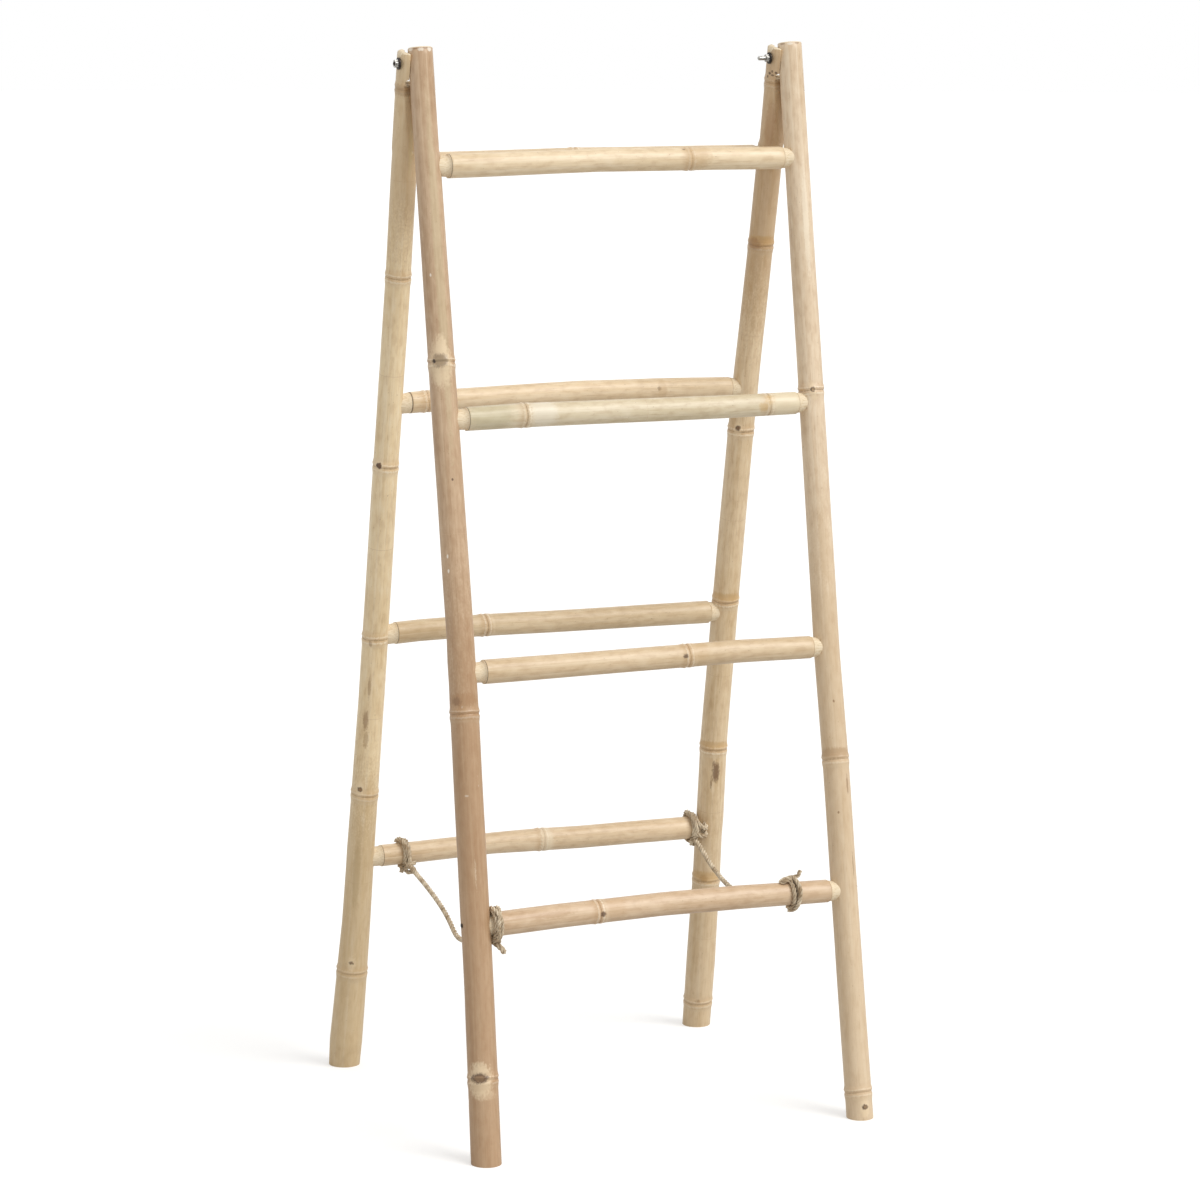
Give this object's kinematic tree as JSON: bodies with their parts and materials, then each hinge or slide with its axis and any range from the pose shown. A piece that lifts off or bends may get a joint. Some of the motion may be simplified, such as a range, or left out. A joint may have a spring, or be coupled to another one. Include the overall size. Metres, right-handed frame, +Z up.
{
  "type": "clothes ladder",
  "caption": "Free-standing folding bamboo clothes ladder: pole frames hinged at the top, round rungs for hanging clothes and rope stays between the bottom rungs.",
  "frame": {"origin": "on the floor, at the middle of the ladder's outline seen from above, measured without the rope stays", "axes": "+X along the rungs to the right as seen from the front frame, +Y from the front frame to the rear frame, +Z up from the floor"},
  "size_m": [0.6161, 0.5749, 1.4815],
  "materials": {
    "brown_bamboo": "smooth, lightly waxed, pinkish brown",
    "pale_bamboo": "smooth, lightly waxed, pale straw",
    "rung_bamboo": "smooth, lightly waxed, with bare cream tenons",
    "jute_rope": "twisted, hairy, grey beige",
    "zinc_steel": "zinc plated",
    "dark_steel": "dark, dull"
  },
  "bodies": {
    "front_frame": {"front_left_pole": "brown_bamboo", "front_right_pole": "pale_bamboo", "front_rung_1": "rung_bamboo", "front_rung_2": "rung_bamboo", "front_rung_3": "rung_bamboo", "front_rung_4": "rung_bamboo", "left_hinge_bolt": "zinc_steel", "right_hinge_bolt": "zinc_steel", "hinge_nuts": "zinc_steel", "hinge_washers": "dark_steel", "rung_nails": "zinc_steel", "front_left_lashing": "jute_rope", "front_right_lashing": "jute_rope"},
    "rear_frame": {"rear_left_pole": "pale_bamboo", "rear_right_pole": "pale_bamboo", "rear_rung_1": "rung_bamboo", "rear_rung_2": "rung_bamboo", "rear_rung_3": "rung_bamboo", "rear_rung_4": "rung_bamboo", "rear_left_lashing": "jute_rope", "rear_right_lashing": "jute_rope", "left_rope": "jute_rope", "right_rope": "jute_rope"}
  },
  "joints": [
    {"name": "frame_hinge", "type": "hinge", "parent": "front_frame", "child": "rear_frame", "pos_m": [0, -0.0077, 1.458], "axis": [1, 0, 0], "range_deg": [-9.2, 0.4], "deforming": ["left_rope", "right_rope"]}
  ]
}
